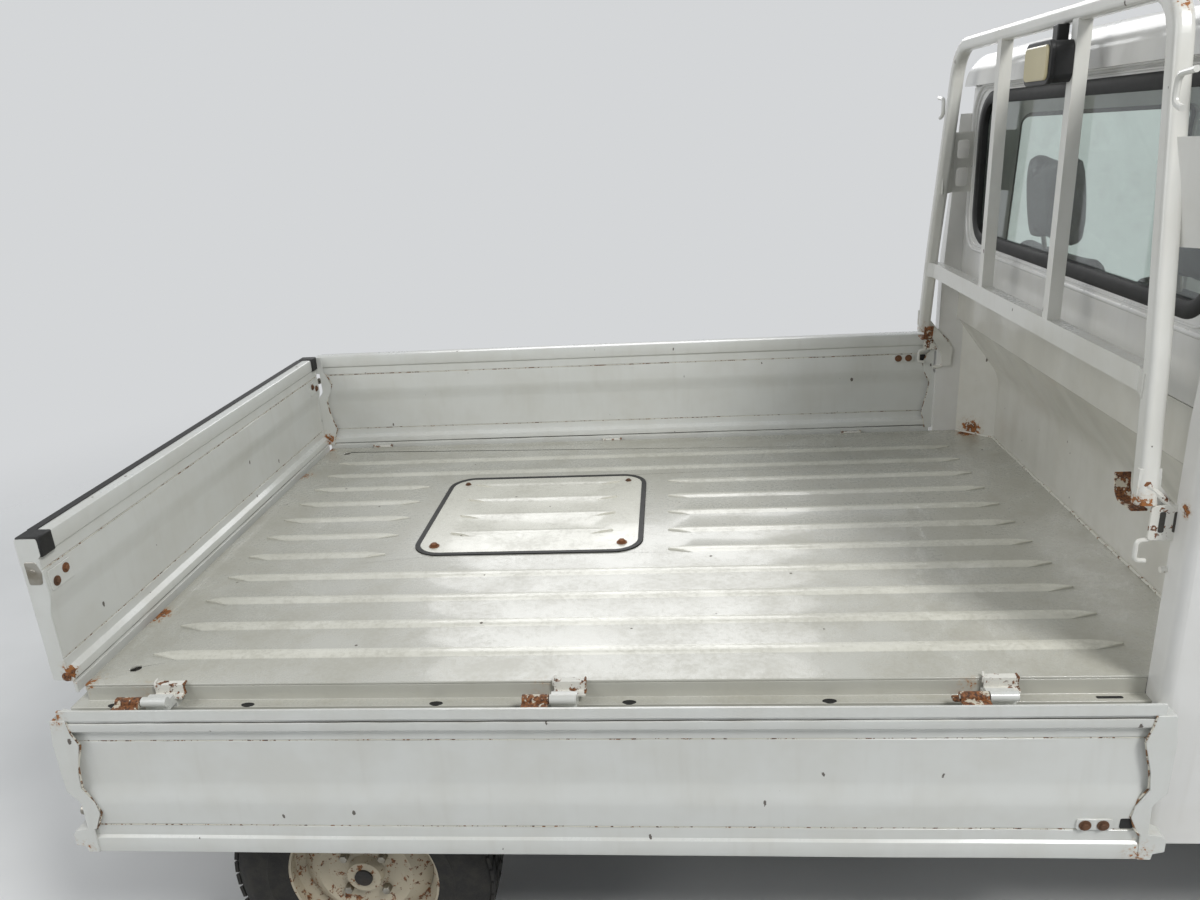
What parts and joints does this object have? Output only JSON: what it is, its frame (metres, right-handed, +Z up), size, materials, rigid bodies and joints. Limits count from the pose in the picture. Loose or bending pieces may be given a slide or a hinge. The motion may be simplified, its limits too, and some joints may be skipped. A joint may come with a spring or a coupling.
{
  "type": "kei truck",
  "caption": "Small drop-side pickup truck with a hollow two-seat cab, cargo bed with folding gates, engine hatch in the floor and a guard frame behind the cab.",
  "frame": {"origin": "on the ground, under the middle of the whole vehicle's box", "axes": "+X forwards, +Y to the vehicle's left, +Z up"},
  "size_m": [3.395, 1.79, 1.8131],
  "materials": {
    "body_paint": "glossy white body enamel, worn",
    "bed_paint": "glossy white enamel, scuffed and dusty",
    "frame_paint": "black chassis paint with rust",
    "glass": "clear float glass",
    "rubber": "black moulded rubber",
    "tyre": "black tyre rubber",
    "wheel_paint": "cream wheel enamel, rusty",
    "trim_plastic": "black grained plastic",
    "dash_plastic": "grey grained plastic",
    "seat_vinyl": "grey vinyl and cloth",
    "lamp_lens": "clear lens over a reflector",
    "tail_lens": "red, amber and clear lens",
    "work_lamp": "black housing with a glass lens",
    "cast_metal": "cast metal, oily",
    "bare_steel": "steel with surface rust",
    "hinge_steel": "painted steel, rusted through"
  },
  "bodies": {
    "body": {"bed_crossmembers": "frame_paint", "bed_edge_rails": "bed_paint", "bed_floor": "bed_paint", "bed_front_wall": "bed_paint", "cab_floor": "body_paint", "cab_rear_panel": "body_paint", "cab_side_left": "body_paint", "cab_side_right": "body_paint", "chassis_frame": "frame_paint", "dashboard": "dash_plastic", "door_hinges": "body_paint", "engine_block": "cast_metal", "engine_hatch": "bed_paint", "exhaust": "bare_steel", "front_bumper": "trim_plastic", "front_panel": "body_paint", "front_suspension": "frame_paint", "fuel_tank": "frame_paint", "gate_hinges": "hinge_steel", "guard_frame": "bed_paint", "hatch_seal": "rubber", "headlamps": "lamp_lens", "leaf_springs": "bare_steel", "quarter_glass": "glass", "rear_axle": "frame_paint", "rear_lamps": "tail_lens", "rear_window": "glass", "roof_panel": "body_paint", "seats": "seat_vinyl", "side_mirrors": "trim_plastic", "steering_wheel": "trim_plastic", "windshield": "glass", "wipers": "trim_plastic", "work_lamp": "work_lamp"},
    "gate_left": {"gate_left": "bed_paint"},
    "gate_right": {"gate_right": "bed_paint"},
    "tailgate": {"tailgate": "bed_paint"},
    "door_left": {"door_left": "body_paint", "door_glass_left": "glass"},
    "door_right": {"door_right": "body_paint", "door_glass_right": "glass"},
    "knuckle_left": {"knuckle_left": "cast_metal"},
    "knuckle_right": {"knuckle_right": "cast_metal"},
    "wheel_front_left": {"tyre_front_left": "tyre", "rim_front_left": "wheel_paint"},
    "wheel_front_right": {"tyre_front_right": "tyre", "rim_front_right": "wheel_paint"},
    "wheel_rear_left": {"tyre_rear_left": "tyre", "rim_rear_left": "wheel_paint"},
    "wheel_rear_right": {"tyre_rear_right": "tyre", "rim_rear_right": "wheel_paint"}
  },
  "joints": [
    {"name": "gate_left_drop", "type": "hinge", "parent": "body", "child": "gate_left", "pos_m": [0, 0.726, 0.698], "axis": [-1, 0, 0], "range_deg": [0, 180]},
    {"name": "gate_right_lift", "type": "hinge", "parent": "body", "child": "gate_right", "pos_m": [0, -0.726, 0.698], "axis": [-1, 0, 0], "range_deg": [0, 180]},
    {"name": "tailgate_drop", "type": "hinge", "parent": "body", "child": "tailgate", "pos_m": [-1.6885, 0, 0.698], "axis": [0, -1, 0], "range_deg": [0, 180]},
    {"name": "door_left_swing", "type": "hinge", "parent": "body", "child": "door_left", "pos_m": [0.967, 0.73, 1], "axis": [0, 0, -1], "range_deg": [0, 65]},
    {"name": "door_right_swing", "type": "hinge", "parent": "body", "child": "door_right", "pos_m": [0.967, -0.73, 1], "axis": [0, 0, 1], "range_deg": [0, 65]},
    {"name": "steer_left", "type": "hinge", "parent": "body", "child": "knuckle_left", "pos_m": [1.2625, 0.59, 0.165], "axis": [0, -0.2532, 0.9674], "range_deg": [-35, 35]},
    {"name": "steer_right", "type": "hinge", "parent": "body", "child": "knuckle_right", "pos_m": [1.2625, -0.59, 0.165], "axis": [0, 0.2532, 0.9674], "range_deg": [-35, 35]},
    {"name": "roll_front_left", "type": "hinge", "parent": "knuckle_left", "child": "wheel_front_left", "pos_m": [1.2625, 0.64, 0.265], "axis": [0, 1, 0], "continuous": true},
    {"name": "roll_front_right", "type": "hinge", "parent": "knuckle_right", "child": "wheel_front_right", "pos_m": [1.2625, -0.64, 0.265], "axis": [0, 1, 0], "continuous": true},
    {"name": "roll_rear_left", "type": "hinge", "parent": "body", "child": "wheel_rear_left", "pos_m": [-1.1575, 0.64, 0.265], "axis": [0, 1, 0], "continuous": true},
    {"name": "roll_rear_right", "type": "hinge", "parent": "body", "child": "wheel_rear_right", "pos_m": [-1.1575, -0.64, 0.265], "axis": [0, 1, 0], "continuous": true}
  ],
  "couplings": [
    {"joint": "steer_right", "follows": "steer_left", "ratio": 1}
  ]
}
